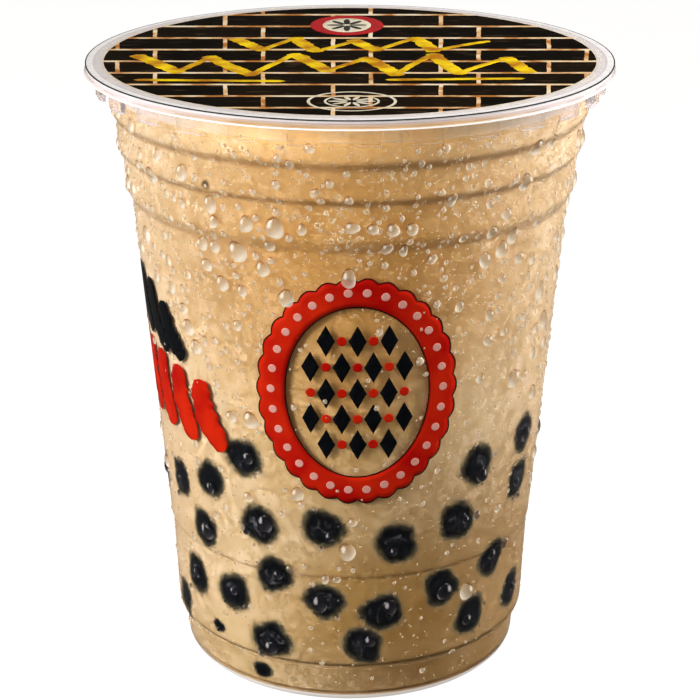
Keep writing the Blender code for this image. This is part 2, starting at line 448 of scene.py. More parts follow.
def clear_plastic(name, index, milk, haze_sides):
    made, tree, shader = new_material(name)
    where = places(tree)
    height = height_of(tree, where)
    aside = aside_of(tree, where, 18, 36)
    grain = noise(tree, where, 2600, 2)
    patches = noise(tree, where, 90, 3)
    speckle = spread(tree, grain, 0.52, 0.70)
    cloud = spread(tree, patches, 0.35, 0.65, 0.25, 1.0)
    filled = spread(tree, height, TEA_LEVEL * MM, (TEA_LEVEL - 1) * MM, 0.15, 1.0)
    fog = times(tree, speckle, cloud, filled)
    up = spread(tree, height, MILKY_FROM * MM, MILKY_TO * MM)
    # Up the rim the haze follows the table, which holds the painted highlight band under the lip.
    milk_and_lip_highlight = up_the_rim(tree, up, [(level, (share,) * 3) for level, share in MILKINESS_AND_LIP_HIGHLIGHT])
    milky_and_lip_highlight = times(tree, milk_and_lip_highlight, spread(tree, patches, 0.35, 0.6, 0.75 * milk, milk))
    # The foot ring's milky band; it also carries the foot's painted glow below.
    foot = times(tree, spread(tree, height, 1.9 * MM, 1.6 * MM),
                 spread(tree, height, 0.0, 0.3 * MM, 0.4, 1.0))
    haze_and_lip_highlight = plus(tree, times(tree, fog, 0.004), milky_and_lip_highlight, foot, times(tree, aside, haze_sides))
    haze_and_lip_highlight = calc(tree, "MINIMUM", haze_and_lip_highlight, 0.97)
    tint = up_the_rim(tree, up, RIM_TINTS)
    colour = mixed(tree, times(tree, aside, 0.8), tint, (0.86, 0.80, 0.83))
    # Painted highlight: a band under the lip is whitened and, like the foot ring, given a painted glow.
    lip_highlight = times(tree, spread(tree, height, (RIM_UNDER + 0.36) * MM, (RIM_UNDER + 0.28) * MM),
                spread(tree, height, (RIM_UNDER - 0.05) * MM, RIM_UNDER * MM))
    painted_glow = plus(tree, times(tree, lip_highlight, LIP_PAINTED_GLOW), times(tree, foot, FOOT_PAINTED_GLOW))
    fill(tree, shader, {
        "Base Color": mixed(tree, lip_highlight, colour, (0.99, 0.97, 0.97)), "IOR": index,
        "Emission Color": (1.0, 0.95, 0.90), "Emission Strength": painted_glow,
        "Roughness": spread(tree, filled, 0.0, 1.0, 0.03, 0.34), "Specular IOR Level": 0.2,
        "Transmission Weight": calc(tree, "SUBTRACT", 1.0, haze_and_lip_highlight),
    })
    let_lamps_through(tree, shader)
    return made


def make_cup(shades):
    outline = arc(RIM_RADIUS - 2 * LIP, RIM_TOP - LIP, LIP, 90, 0, 4)
    outline += arc(RIM_RADIUS - LIP, RIM_UNDER + LIP, LIP, 60, -90, 6)
    outline += [(LUG_OUTER_RADIUS, RIM_UNDER), (LUG_OUTER_RADIUS - LUG_THICKNESS, RIM_UNDER)]
    outline += wall_outline(0, RIM_UNDER)
    outline += [(FOOT_RING_INNER, 0), (FOOT_RING_INNER - FLOOR_THICKNESS, FLOOR_RISE), (0, FLOOR_RISE)]
    floor = FLOOR_RISE + FLOOR_THICKNESS
    outline += [(0, floor), (FOOT_RING_INNER - 2 * FLOOR_THICKNESS, floor)]
    outline += wall_outline(WALL, RIM_TOP - MOUTH_CHAMFER)[::-1]
    outline += [(NECK_RADIUS - WALL + MOUTH_CHAMFER, RIM_TOP)]
    vertices, faces = turned(outline, CUP_SEGMENTS, closed=True)
    cup = add_piece("cup_clear", vertices, faces, shades)
    shape = bmesh.new()
    shape.from_mesh(cup.data)
    middle = (LUG_OUTER_RADIUS - LUG_THICKNESS / 2) * MM
    at_rim = (RIM_UNDER - 0.1) * MM
    drawn = []
    for face in shape.faces:
        centre = face.calc_center_median()
        under_rim = centre.z > at_rim and abs(centre.xy.length - middle) < 0.2 * MM
        turn = math.atan2(centre.y, centre.x) % math.tau
        if under_rim and face.normal.z < -0.9 and int(turn / math.tau * 2 * LUGS) % 2 == 0:
            drawn.append(face)
    lugs = bmesh.ops.extrude_face_region(shape, geom=drawn)["geom"]
    lowered = [part for part in lugs if isinstance(part, bmesh.types.BMVert)]
    bmesh.ops.translate(shape, verts=lowered, vec=(0, 0, -LUG_HEIGHT * MM))
    bmesh.ops.delete(shape, geom=drawn, context="FACES_ONLY")
    face_outwards(shape, cup.data)
    cup.data.set_sharp_from_angle(angle=math.radians(30))
    for face in cup.data.polygons:
        if face.center.z > at_rim:
            face.material_index = 1
        elif math.hypot(face.center.x, face.center.y) > (NECK_RADIUS + 0.5) * MM:
            face.material_index = 2
    return cup


cup = make_cup([
    clear_plastic("clear plastic", WALL_INDEX, 1.0, 0.0),
    clear_plastic("rim plastic", RIM_INDEX, 1.0, 0.1),
    clear_plastic("lug plastic", LUG_INDEX, 0.2, 0.16),
])
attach(cup, "root")
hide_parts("cup")
print(count_of(cup))

# %% [markdown]
# ## Where the pearls lie
# Cooked tapioca pearls are soft balls, about 8 mm across. They sink, and those at the wall press
# flat against it. The heap keeps the places of the solid: a listed group in front, and rows that
# drift a little round the back. No two are quite round, so each gets its own outline, a circle
# whose radius swings by a few waves.

# %% Places, sizes and outlines of the pearls
PEARL_RADIUS = 4.2
PEARL_UNEVENNESS = 0.07
PEARL_SINK = 1.2
FRONT_PEARLS = (
    (-32, 48.6), (40, 45.9), (63, 47.7),
    (-83, 36.4), (-63, 38.6), (-46, 41.8), (62, 38.6),
    (-51, 30.9), (-28, 35.7), (-8, 36.7), (14, 33.3), (34, 35.6),
    (-24, 25.9), (30, 22.4), (51, 24.6),
    (-59, 19.4), (-40, 19.8), (-8, 21.6), (10, 19.2),
    (-72, 11.1), (-48, 11.0), (-26, 12.1), (4, 12.6), (42, 14.6), (66, 14.6),
    (-31, 4.4),
)
BACK_START = 84
BACK_SPAN = 190
BACK_ROWS = 5
BACK_PER_ROW = 5
BACK_BOTTOM = 10.5
BACK_PITCH = 8.6
DRIFT_ANGLE = 4
DRIFT_HEIGHT = 1.8
SEED = 7
DEEPER = {(-31, 4.4): 0.9, (-48, 11.0): 1.1, (-72, 11.1): 0.6}
SHOWN_SMALL = {(-31, 4.4): (0.62, 0.44), (-48, 11.0): (0.50, 0.36)}
OUTLINE_WAVES = {2: 0.085, 3: 0.06, 4: 0.055, 5: 0.035}


def pearl_places():
    draw = random.Random(SEED)
    found = list(FRONT_PEARLS)
    for row in range(BACK_ROWS):
        for number in range(BACK_PER_ROW):
            share = (number + 0.25 + 0.5 * (row % 2)) / BACK_PER_ROW
            angle = BACK_START + BACK_SPAN * share + draw.uniform(-DRIFT_ANGLE, DRIFT_ANGLE)
            height = BACK_BOTTOM + BACK_PITCH * row + draw.uniform(-DRIFT_HEIGHT, DRIFT_HEIGHT)
            found.append((angle, height))
    return found


class Pearl:
    """One pearl against the wall, or a little deeper in the tea. Lengths are in millimetres."""

    def __init__(self, angle, height, sizes, shapes):
        self.angle = math.radians(angle)
        self.height = height
        self.deeper = DEEPER.get((angle, height), 0)
        self.shown = SHOWN_SMALL.get((angle, height), (1, 1))
        self.size = PEARL_RADIUS * sizes.uniform(1 - PEARL_UNEVENNESS, 1 + PEARL_UNEVENNESS)
        sizes.uniform(0, math.pi)  # The solid's pearl draws a spin here, which keeps the sizes in step.
        self.reach = float(inside_radius(height)) - self.size + PEARL_SINK
        self.waves = [(count, swing * shapes.uniform(0.3, 1.0), shapes.uniform(0, math.tau))
                      for count, swing in OUTLINE_WAVES.items()]

    def swell(self, turn):
        """How far the outline stands out or in, at a turn round the pearl's middle."""
        return 1 + sum(swing * np.cos(count * turn + phase) for count, swing, phase in self.waves)


sizes, shapes = random.Random(SEED), random.Random(SEED + 1)
pearls = [Pearl(angle, height, sizes, shapes) for angle, height in pearl_places()]
print("pearls:", len(pearls))

# %% [markdown]
# ## Milk tea
# The tea fills the cup, and its piece reaches a little into the wall so that no gap of air shows.
# Above its level a thin coat clings to the wall, which keeps the neck from looking empty.
#
# Milk hides what lies behind it within a millimetre, so a pearl is black where it touches the wall
# and fades at its edge. A true scattering volume would be slow and grainy. Instead each vertex
# stores how much of a pearl shows through the tea there, worked out from the depth of tea in front
# of the nearest pearl, and the shader darkens by it, with a ragged edge from a noise.
#
# The tea's own colour is a beige that drifts in clouds and curls, with pale dots of milk foam and,
# towards the top, small bubbles painted as cream rings round brown middles. The finest pale dots are
# painted highlights of tiny water beads. Near the top, mostly in front, the tea is painted paler, a
# painted light where the rim shades it. A few broad spots multiply it by a tint where the cup is in
# its own shade. Under the steps of the wall the tea has soft brown lines of painted shade, and in the
# two creases near the foot thin dark lines of painted shade.

# %% Make the tea
TEA_REACH = 0.06
TEA_SEGMENTS = 400
TEA_ROW = 0.5
TEA_TOP_ROW = 1.1
PEARLS_UP_TO = 56
PEARL_FLATNESS = 2.4
MILK_CLEARS = 1.4
SHOWING_SINK = 0.25
HALO = 1.1
SMALL_FADE = 1.7
COAT_TOP = 111.9
COAT_DEPTH = 0.35
MILK_DOTS_AND_BEAD_HIGHLIGHTS = [
    (230, 0.45, 0.36, (0.76, 0.60, 0.42)), (620, 0.38, 0.50, (0.84, 0.69, 0.50)),
    (1350, 0.34, 0.50, (0.94, 0.80, 0.58)),
]
BUBBLE_SIZES = [(760, 0.34, 0.30), (1250, 0.32, 0.36)]
TEA_TINTS = [
    ((2, -44, 88), 40, (0.92, 0.69, 0.38)), ((0, -42, 56), 26, (1.0, 0.90, 0.68)),
    ((4, -33, 20), 22, (0.84, 0.73, 0.47)), ((24, -24, 12), 44, (0.58, 0.48, 0.33)),
    ((-29, -27, 87), 15, (0.84, 0.80, 0.72)), ((-22, -25, 6), 15, (0.87, 0.84, 0.74)),
]
FLECK = ((-24.1, -33.5, 99.6), 1.1)
STEP_SHADE_LINES = [(89.6, 1.0, 0.55), (98.1, 0.9, 0.6), (104.4, 1.0, 0.7), (26.6, 0.45, 0.45)]
CREASE_SHADE_LINES = [(8.3, 0.30, 0.9), (2.0, 0.34, 0.9)]
STEP_SHADE_TINT, CREASE_SHADE_TINT = (0.28, 0.14, 0.05), (0.06, 0.03, 0.012)


def rows_between(points):
    """The outline with points added, closer together where pearls show."""
    fine = [points[0]]
    for start, end in zip(points, points[1:]):
        length = math.dist(start, end)
        pitch = TEA_ROW if end[1] < PEARLS_UP_TO else TEA_TOP_ROW
        count = max(1, math.ceil(length / pitch))
        for step in range(1, count + 1):
            share = step / count
            fine.append(tuple(near + share * (far - near) for near, far in zip(start, end)))
    return fine


def pearl_showing(angle, height):
    """How much of a pearl shows at each place on the wall, from 0 to 1."""
    showing = np.zeros_like(angle)
    radius = inside_radius(height)
    for pearl in pearls:
        across = radius * ((angle - pearl.angle + math.pi) % math.tau - math.pi)
        up = height - pearl.height
        share = np.hypot(across / pearl.shown[0], up / pearl.shown[1]) / pearl.size / HALO
        share /= pearl.swell(np.arctan2(up, across))
        front = np.clip(1 - share ** PEARL_FLATNESS, 0, 1) ** (1 / PEARL_FLATNESS)
        depth = np.clip(pearl.size * (1 - front) - SHOWING_SINK, 0, None)
        clear = np.exp(-depth / MILK_CLEARS)
        if pearl.shown != (1, 1):
            clear = np.clip(SMALL_FADE * (1 - share), 0, 1)
        showing = np.maximum(showing, np.where(share < 1, clear, 0))
    return showing


def picked_cells(tree, where, scale, share):
    """Cells of a given scale: the distance from their points, and 1 in a share of them, else 0."""
    cells = new_node(tree, "TexVoronoi", {"Vector": where, "Scale": scale})
    picked = spread(tree, cells.outputs["Color"], 1 - share - 0.02, 1 - share + 0.02)
    return cells.outputs["Distance"], picked


def dots_of(tree, where, scale, size, share):
    """Round dots scattered in a share of the cells of a given scale: 1 inside a dot, 0 outside."""
    distance, picked = picked_cells(tree, where, scale, share)
    return times(tree, spread(tree, distance, size, size * 0.6), picked)


def bubble_rings(tree, where, scale, size, share, bubbly, tea):
    """The tea with small bubbles at its surface, each a cream ring round a browner middle."""
    distance, picked = picked_cells(tree, where, scale, share)
    much = times(tree, picked, bubbly)
    middle = times(tree, spread(tree, distance, size, 0.6 * size), much)
    rim = times(tree, spread(tree, off_by(tree, distance, size), 0.12, 0.04), much)
    tea = mixed(tree, middle, tea, (0.40, 0.23, 0.08))
    return mixed(tree, rim, tea, (0.88, 0.73, 0.51))


def near_spot(tree, where, spot, reach):
    """1 at a spot in millimetres, falling to 0 at its reach."""
    gap = tree.nodes.new("ShaderNodeVectorMath")
    gap.operation = "DISTANCE"
    fill(tree, gap, {0: where, 1: [axis * MM for axis in spot]})
    return spread(tree, gap.outputs["Value"], 0.3 * reach * MM, reach * MM, 1.0, 0.0)


def with_shade_line(tree, tea, height, uneven, line, flat, tint):
    """The tea with a painted line of shade round it, given as its height, half width and depth, even
    over a share.
    """
    level, half, depth = line
    off = off_by(tree, height, level * MM)
    shade = spread(tree, off, flat * half * MM, half * MM, depth, 0.0)
    return mixed(tree, times(tree, shade, uneven), tea, tint)


def milk_tea_shade():
    made, tree, shader = new_material("milk tea")
    where = places(tree)
    clouds = noise(tree, where, 45, 4, 0.55, 0.6)
    curls = noise(tree, where, 190, 3, 0.6, 0.2)
    tea = ramp(tree, clouds, [
        (0.32, (0.50, 0.355, 0.18)), (0.50, (0.60, 0.44, 0.245)), (0.68, (0.66, 0.505, 0.305)),
    ])
    tea = mixed(tree, spread(tree, curls, 0.45, 0.75, 0.0, 0.4), tea, (0.66, 0.50, 0.31))
    height = height_of(tree, where)
    aside = aside_of(tree, where, 12, 32)
    # Painted light: the tea is made paler near the top, mostly in front, where the rim shades it.
    painted_light_top = times(tree, spread(tree, height, 104 * MM, 108.5 * MM), calc(tree, "SUBTRACT", 0.95, aside))
    tea = mixed(tree, painted_light_top, tea, (1.0, 0.76, 0.42))
    fine = noise(tree, where, 480, 4, 0.65, 0.5)
    tea = mixed(tree, spread(tree, fine, 0.50, 0.36, 0.0, 0.36), tea, (0.38, 0.25, 0.10))
    tea = mixed(tree, spread(tree, fine, 0.52, 0.66, 0.0, 0.40), tea, (0.84, 0.68, 0.46))
    # Pale dots of milk; the finest and brightest of them are painted highlights of tiny water beads.
    for scale, share, strength, tint in MILK_DOTS_AND_BEAD_HIGHLIGHTS:
        dots = times(tree, dots_of(tree, where, scale, 0.5, share), strength)
        tea = mixed(tree, dots, tea, tint)
    for spot, reach, tint in TEA_TINTS:
        tea = mixed(tree, near_spot(tree, where, spot, reach), tea, tint, "MULTIPLY")
    tea = mixed(tree, near_spot(tree, where, *FLECK), tea, (0.05, 0.035, 0.03), "MULTIPLY")
    coat = times(tree, spread(tree, height, 109.1 * MM, 109.4 * MM), aside)
    tea = mixed(tree, coat, tea, (0.55, 0.48, 0.41))
    bubbly = times(tree, spread(tree, noise(tree, where, 120, 3), 0.50, 0.60),
                   spread(tree, height, 78 * MM, 92 * MM, 0.1, 1.0))
    for scale, size, share in BUBBLE_SIZES:
        tea = bubble_rings(tree, where, scale, size, share, bubbly, tea)
    uneven = spread(tree, curls, 0.3, 0.6, 0.4, 1.0)
    # Painted shade: soft brown lines under the steps of the wall, and thin dark ones in the creases
    # near the foot.
    for line in STEP_SHADE_LINES:
        tea = with_shade_line(tree, tea, height, uneven, line, 0.0, STEP_SHADE_TINT)
    for line in CREASE_SHADE_LINES:
        tea = with_shade_line(tree, tea, height, uneven, line, 0.4, CREASE_SHADE_TINT)
    specks = times(tree, dots_of(tree, where, 900, 0.26, 0.05), spread(tree, height, 80 * MM, 100 * MM))
    tea = mixed(tree, specks, tea, (0.15, 0.06, 0.015))
    showing = attribute_of(tree, "pearl_showing")
    ragged = spread(tree, noise(tree, where, 900, 5, 0.8), 0.3, 0.7, -0.20, 0.20)
    ragged = times(tree, ragged, spread(tree, showing, 0.03, 0.25))
    frayed = plus(tree, showing, ragged)
    dark = ramp(tree, frayed, [
        (0.12, (0.40, 0.28, 0.14)), (0.38, (0.19, 0.15, 0.08)), (0.58, (0.05, 0.045, 0.03)),
        (0.80, (0.003, 0.004, 0.006)),
    ])
    tea = mixed(tree, spread(tree, frayed, 0.08, 0.5), tea, dark)
    fill(tree, shader, {"Base Color": tea, "Roughness": 0.5, "Specular IOR Level": 0.04})
    return made


def make_tea(shade):
    inset = WALL - TEA_REACH
    outline = rows_between(wall_outline(inset, COAT_TOP))
    floor = FLOOR_RISE + FLOOR_THICKNESS - TEA_REACH
    coat = NECK_RADIUS - inset - COAT_DEPTH
    over = [(0, TEA_LEVEL), (coat, TEA_LEVEL), (coat, COAT_TOP)]
    vertices, faces = turned([*over, *outline, (0, floor)], TEA_SEGMENTS)
    tea = add_piece("milk_tea_body", vertices, faces, [shade])
    where = np.array(vertices) / MM
    angle = np.arctan2(where[:, 0], -where[:, 1])
    showing = pearl_showing(angle, where[:, 2])
    at_wall = np.hypot(where[:, 0], where[:, 1]) > inside_radius(where[:, 2]) - 0.5
    store(tea, "pearl_showing", np.where(at_wall, showing, 0))
    return tea


tea = make_tea(milk_tea_shade())
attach(tea, "root")
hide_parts("milk_tea")
print(count_of(tea))

# %% [markdown]
# ## Tapioca pearls
# Each pearl is a ball whose cross-section is a little square, as a soft ball against a wall is, and
# whose front is cut to the wall. It is set back by less than a millimetre, so that only its middle
# comes through the tea and touches the plastic, and the tea's shader draws the blurred rest. Cooked
# tapioca is nearly black and glossy, with fine folds; the light they catch is painted into the colour
# as thin grey streaks of highlight. The heap's middle, which is never seen, is one plain core.

# %% Make the heap of pearls
FACE_AHEAD = 0.04
SET_BACK = 0.75
CORE_OUTLINE = [(0, 50), (14, 50), (30, 46), (27.5, 5.5), (0, 5.5)]


def tapioca_shade():
    made, tree, shader = new_material("tapioca")
    where = places(tree)
    blotches = noise(tree, where, 350, 3, 0.55, 0.8)
    glaze = noise(tree, where, 900, 2)
    colour = ramp(tree, blotches, [
        (0.42, (0.003, 0.004, 0.006)), (0.60, (0.006, 0.008, 0.012)), (0.74, (0.020, 0.021, 0.027)),
    ])
    folds = noise(tree, where, 230, 2, 0.5, 2.2)
    # Painted highlight: thin grey streaks along the folds stand for light that glossy tapioca catches.
    shining = times(tree, spread(tree, off_by(tree, folds, 0.5), 0.004, 0.022, 1.0, 0.0),
                    spread(tree, noise(tree, where, 190, 1), 0.46, 0.56, 0.0, 0.9))
    fill(tree, shader, {
        "Base Color": mixed(tree, shining, colour, (0.12, 0.12, 0.14)), "Specular IOR Level": 0.05,
        "Roughness": spread(tree, glaze, 0.35, 0.65, 0.12, 0.4),
    })
    bump(tree, shader, blotches, 0.3, 0.2 * MM)
    return made


def make_pearls(shade):
    ball = bmesh.new()
    bmesh.ops.create_icosphere(ball, subdivisions=4, radius=1)
    unit = np.array([tuple(vertex.co) for vertex in ball.verts])
    triangles = [[vertex.index for vertex in face.verts] for face in ball.faces]
    ball.free()
    sideways = np.hypot(unit[:, 0], unit[:, 1])
    squarish = (sideways ** PEARL_FLATNESS + abs(unit[:, 2]) ** PEARL_FLATNESS) ** (-1 / PEARL_FLATNESS)
    turn = np.arctan2(unit[:, 1], unit[:, 0])
    vertices, faces = turned(CORE_OUTLINE, 48)
    for pearl in pearls:
        across, up = (unit[:, axis] * squarish * pearl.size * pearl.swell(turn) for axis in (0, 1))
        out = pearl.reach - SET_BACK - pearl.deeper + unit[:, 2] * squarish * pearl.size
        x = out * math.sin(pearl.angle) + across * math.cos(pearl.angle)
        y = -out * math.cos(pearl.angle) + across * math.sin(pearl.angle)
        z = np.maximum(pearl.height + up, FLOOR_RISE + FLOOR_THICKNESS + 0.1)
        most = inside_radius(z) + TEA_REACH + FACE_AHEAD
        drawn_in = np.minimum(1, most / np.hypot(x, y))
        start = len(vertices)
        vertices += [tuple(place) for place in np.stack([x * drawn_in, y * drawn_in, z], -1) * MM]
        faces += [[start + corner for corner in triangle] for triangle in triangles]
    return add_piece("tapioca_heap", vertices, faces, [shade], 60)


heap = make_pearls(tapioca_shade())
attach(heap, "root")
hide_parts("tapioca_pearls")
print(count_of(heap))

# %% [markdown]
# ## Film
# The lid is a printed plastic film, welded to the rim by heat. Seen from the middle outwards it has
# a dark brick print, a cream line, a clear ring through which the rim shows, a white weld and a
# black cut edge. The film is one turned disc, and each ring of its faces takes its own material.
# The bricks come from a brick texture, one unit of which is 100 mm here. Its rows narrow a little
# towards the back, as a drawn wall does, so the shader divides each place by a number that grows
# from front to back.

# %% Make the film
FILM_TOP = 113.95
FILM_UNDER = 113.7
PRINT_RADIUS = 43.95
FILM_EDGE_FROM = 113.78
FILM_RINGS = [
    (47.25, "edge"), (47.02, "weld"), (45.9, "clear"), (44.25, "cream"), (PRINT_RADIUS, "bricks"),
]
BRICK_WIDTH = 19.35
BRICK_ROW = 9.61
MORTAR_WIDE = 0.75
MORTAR_SQUEEZE = 0.62
BRICK_SHIFT = 0.35
BRICKS_MOVED = (-3.73, -5.13)
BRICK_UNIT = 100
NARROWING = 0.0025
EDGE_WOBBLE = 0.0002


def brick_print():
    made, tree, shader = new_material("brick print")
    where = places(tree)
    wobble = new_node(tree, "TexNoise", {"Vector": where, "Scale": 260.0, "Detail": 3.0})
    shaken = mixed(tree, EDGE_WOBBLE, where, wobble.outputs["Color"], "LINEAR_LIGHT")
    apart = new_node(tree, "SeparateXYZ", {"Vector": shaken})
    widening = plus(tree, times(tree, apart.outputs["Y"], NARROWING / MM), 1.0)
    fanned = {axis: calc(tree, "DIVIDE", apart.outputs[axis], widening) for axis in "XY"}
    place = new_node(tree, "Mapping", {
        "Vector": new_node(tree, "CombineXYZ", fanned).outputs["Vector"],
        "Location": (BRICKS_MOVED[0] / BRICK_UNIT, BRICKS_MOVED[1] * MORTAR_SQUEEZE / BRICK_UNIT, 0),
        "Scale": [squeeze / (BRICK_UNIT * MM) for squeeze in (1, MORTAR_SQUEEZE, 1)],
    })
    bricks = new_node(tree, "TexBrick", {
        "Vector": place.outputs["Vector"], "Scale": 1.0, "Mortar Size": MORTAR_WIDE / 2 / BRICK_UNIT,
        "Mortar Smooth": 0.0, "Brick Width": BRICK_WIDTH / BRICK_UNIT,
        "Row Height": BRICK_ROW * MORTAR_SQUEEZE / BRICK_UNIT,
        "Color1": (0.004, 0.003, 0.002), "Color2": (0.010, 0.006, 0.003),
    })
    bricks.offset = BRICK_SHIFT
    stains = noise(tree, where, 200, 3)
    mortar = ramp(tree, stains, [
        (0.38, (0.45, 0.17, 0.04)), (0.50, (0.76, 0.50, 0.26)), (0.64, (0.86, 0.73, 0.54)),
    ])
    drawn_out = new_node(tree, "Mapping", {"Vector": where, "Scale": (0.16, 1, 1)})
    scratches = noise(tree, drawn_out.outputs["Vector"], 1000, 1)
    faint = spread(tree, scratches, 0.64, 0.70, 0.0, 0.8)
    dark = mixed(tree, faint, bricks.outputs["Color"], (0.05, 0.03, 0.014))
    fill(tree, shader, {
        "Base Color": mixed(tree, bricks.outputs["Fac"], dark, mortar),
        "Roughness": spread(tree, stains, 0.3, 0.7, 0.42, 0.55), "Specular IOR Level": 0.002,
    })
    return made


def plain_ink(name, low, high, roughness=0.45, specular=0.2, scale=700):
    """Ink whose colour drifts a little between two tones."""
    made, tree, shader = new_material(name)
    where = places(tree)
    drift = noise(tree, where, scale, 3)
    fill(tree, shader, {
        "Base Color": ramp(tree, drift, [(0.35, low), (0.65, high)]),
        "Roughness": spread(tree, drift, 0.3, 0.7, roughness - 0.05, roughness + 0.08),
        "Specular IOR Level": specular,
    })
    return made


def clear_film():
    made, tree, shader = new_material("clear film")
    where = places(tree)
    patches = noise(tree, where, 160, 3)
    fill(tree, shader, {
        "Base Color": ramp(tree, patches, [(0.4, (0.84, 0.80, 0.87)), (0.6, (0.93, 0.91, 0.95))]),
        "Transmission Weight": spread(tree, patches, 0.35, 0.65, 0.25, 0.5),
        "Roughness": spread(tree, patches, 0.3, 0.7, 0.10, 0.22), "IOR": 1.45,
    })
    let_lamps_through(tree, shader)
    return made


def make_film():
    shades = {
        "edge": plain_ink("cut edge", (0.006, 0.006, 0.007), (0.014, 0.013, 0.014), 0.3, 0.1),
        "weld": plain_ink("weld", (0.86, 0.84, 0.86), (0.95, 0.94, 0.95), 0.3, 0.3),
        "clear": clear_film(),
        "cream": plain_ink("cream line", (0.62, 0.50, 0.36), (0.80, 0.72, 0.58)),
        "bricks": brick_print(),
    }
    steps = [(radius, FILM_TOP) for radius, _ in FILM_RINGS]
    inner = [(PRINT_RADIUS * share, FILM_TOP) for share in (0.8, 0.6, 0.4, 0.2, 0)]
    first = FILM_RINGS[0][0]
    outline = [(0, FILM_UNDER), (first, FILM_UNDER), (first, FILM_EDGE_FROM), *steps, *inner]
    vertices, faces = turned(outline[::-1], CUP_SEGMENTS)
    order = list(shades)
    film = add_piece("film_printed", vertices, faces, list(shades.values()))
    for face in film.data.polygons:
        radius = math.hypot(face.center.x, face.center.y) / MM
        within = [kind for edge, kind in FILM_RINGS if radius <= edge + 0.01]
        face.material_index = order.index(within[-1] if within else "edge")
        if face.center.z < FILM_EDGE_FROM * MM:
            face.material_index = order.index("weld")
        if face.normal.z < -0.5 and radius < first - 0.6:
            face.material_index = order.index("cream")
    return film


film = make_film()
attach(film, "root")
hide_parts("seal_film")
print(count_of(film))

# %% [markdown]
# ## Brush strokes
# Loose yellow strokes cross the bricks, and the wall has bolder dabs of its own. A stroke is a
# ribbon along a few points, blunt at its ends, with an edge that frays a little. The same ribbon
# can lie flat on the film or hug the wall, so one helper makes its points and another lays them
# down. A broad brush makes wide strokes one way and thin ones the other, so the legs of a zigzag
# are strokes of their own: the wide ones lie under the thin ones.

# %% Helpers for strokes
def smooth_path(points, count):
    """Points along a smooth curve through the given ones."""
    points = np.array(points, float)
    padded = np.vstack([2 * points[0] - points[1], points, 2 * points[-1] - points[-2]])
    at = np.linspace(0, len(points) - 1, count)
    index = np.minimum(at.astype(int), len(points) - 2)
    share = (at - index)[:, None]
    before, start, end, after = (padded[index + offset] for offset in range(4))
    speed = (end - before) * share
    bend = (2 * before - 5 * start + 4 * end - after) * share ** 2
    twist = (3 * start - before - 3 * end + after) * share ** 3
    return 0.5 * (2 * start + speed + bend + twist)


def ribbon(points, width, draw, count=36, fray=0.12, blunt=3.0):
    """Rows of points across a stroke: its path, swollen to a width and frayed at the edges."""
    path = smooth_path(points, count)
    ahead = np.gradient(path, axis=0)
    ahead /= np.linalg.norm(ahead, axis=1)[:, None]
    across = np.stack([-ahead[:, 1], ahead[:, 0]], -1)
    share = np.linspace(-1, 1, count)
    swell = (1 - abs(share) ** blunt) ** (1 / blunt)
    rough = [np.convolve([draw.uniform(-fray, fray) for _ in range(count)], (0.25, 0.5, 0.25), "same")
             for _ in range(2)]
    left = swell * (0.5 + rough[0]) * width
    right = swell * (0.5 + rough[1]) * width
    sides = np.linspace(-1, 1, 5)
    reach = np.where(sides < 0, -left[:, None], right[:, None]) * abs(sides)
    return path[:, None, :] + reach[..., None] * across[:, None, :]


def grid_faces(rows, columns, start, wrap):
    """Faces of a grid of points stored row by row. With wrap, the last row joins the first."""
    faces = []
    for row in range(rows if wrap else rows - 1):
        for column in range(columns - 1):
            here = start + row * columns + column
            there = start + (row + 1) % rows * columns + column
            faces.append([here, here + 1, there + 1, there])
    return faces


def lay(name, grids, put_down, shade, thickness):
    """One piece from flat grids, each (points, wraps), put down on a surface and given a thickness."""
    vertices, faces = [], []
    for points, wraps in grids:
        rows, columns = points.shape[:2]
        faces += grid_faces(rows, columns, len(vertices), wraps)
        vertices += [tuple(place) for place in put_down(points[..., 0], points[..., 1]).reshape(-1, 3)]
    piece = add_piece(name, vertices, faces, [shade])
    shape = bmesh.new()
    shape.from_mesh(piece.data)
    face_outwards(shape, piece.data)
    solid = piece.modifiers.new("thickness", "SOLIDIFY")
    solid.thickness = thickness * MM
    solid.offset = 0
    return piece


def on_film(lift):
    """Lays a flat drawing over the film, at a lift in millimetres."""
    def put_down(across, along):
        return np.stack([across, along, np.full_like(across, FILM_TOP + lift)], -1) * MM
    return put_down


def around_wall(lift):
    """Lays a drawing on the wall, across in millimetres of arc at the height of its own point."""
    def put_down(across, height):
        return on_wall(across / outside_radius(height), height, lift)
    return put_down


print("stroke helpers ready")

# %% Paint the film's strokes
WIDE_STROKE, THIN_STROKE = 2.9, 1.5
RUNS_PAST = 1.1
WIDE_LIFT, THIN_LIFT, PAINT_THICKNESS = 0.012, 0.035, 0.016
ZIGZAGS = [
    [(-21, 14), (-16, 5), (-10, 15), (-6, 4), (1, 13), (5, 5), (12, 15), (15, 4), (25, 12)],
    [(-38, 0), (-30, -13), (-25, -1), (-17, -15), (-10, 1), (-4, -12),
     (3, -2), (8, -15), (15, 1), (19, -14), (28, -2), (31, -13)],
]
BARS = [[(-37, -19), (-11, -20)], [(6, -19), (30, -18)]]


def legs_of(zigzag, draw):
    """Each leg as a stroke of its own, a little bowed, that runs past the corners."""
    for start, end in zip(zigzag, zigzag[1:]):
        start, end = np.array(start, float), np.array(end, float)
        past = RUNS_PAST * (end - start) / math.dist(start, end)
        bow = np.array([draw.uniform(-0.5, 0.5), 0])
        yield [start - past, (start + end) / 2 + bow, end + past]


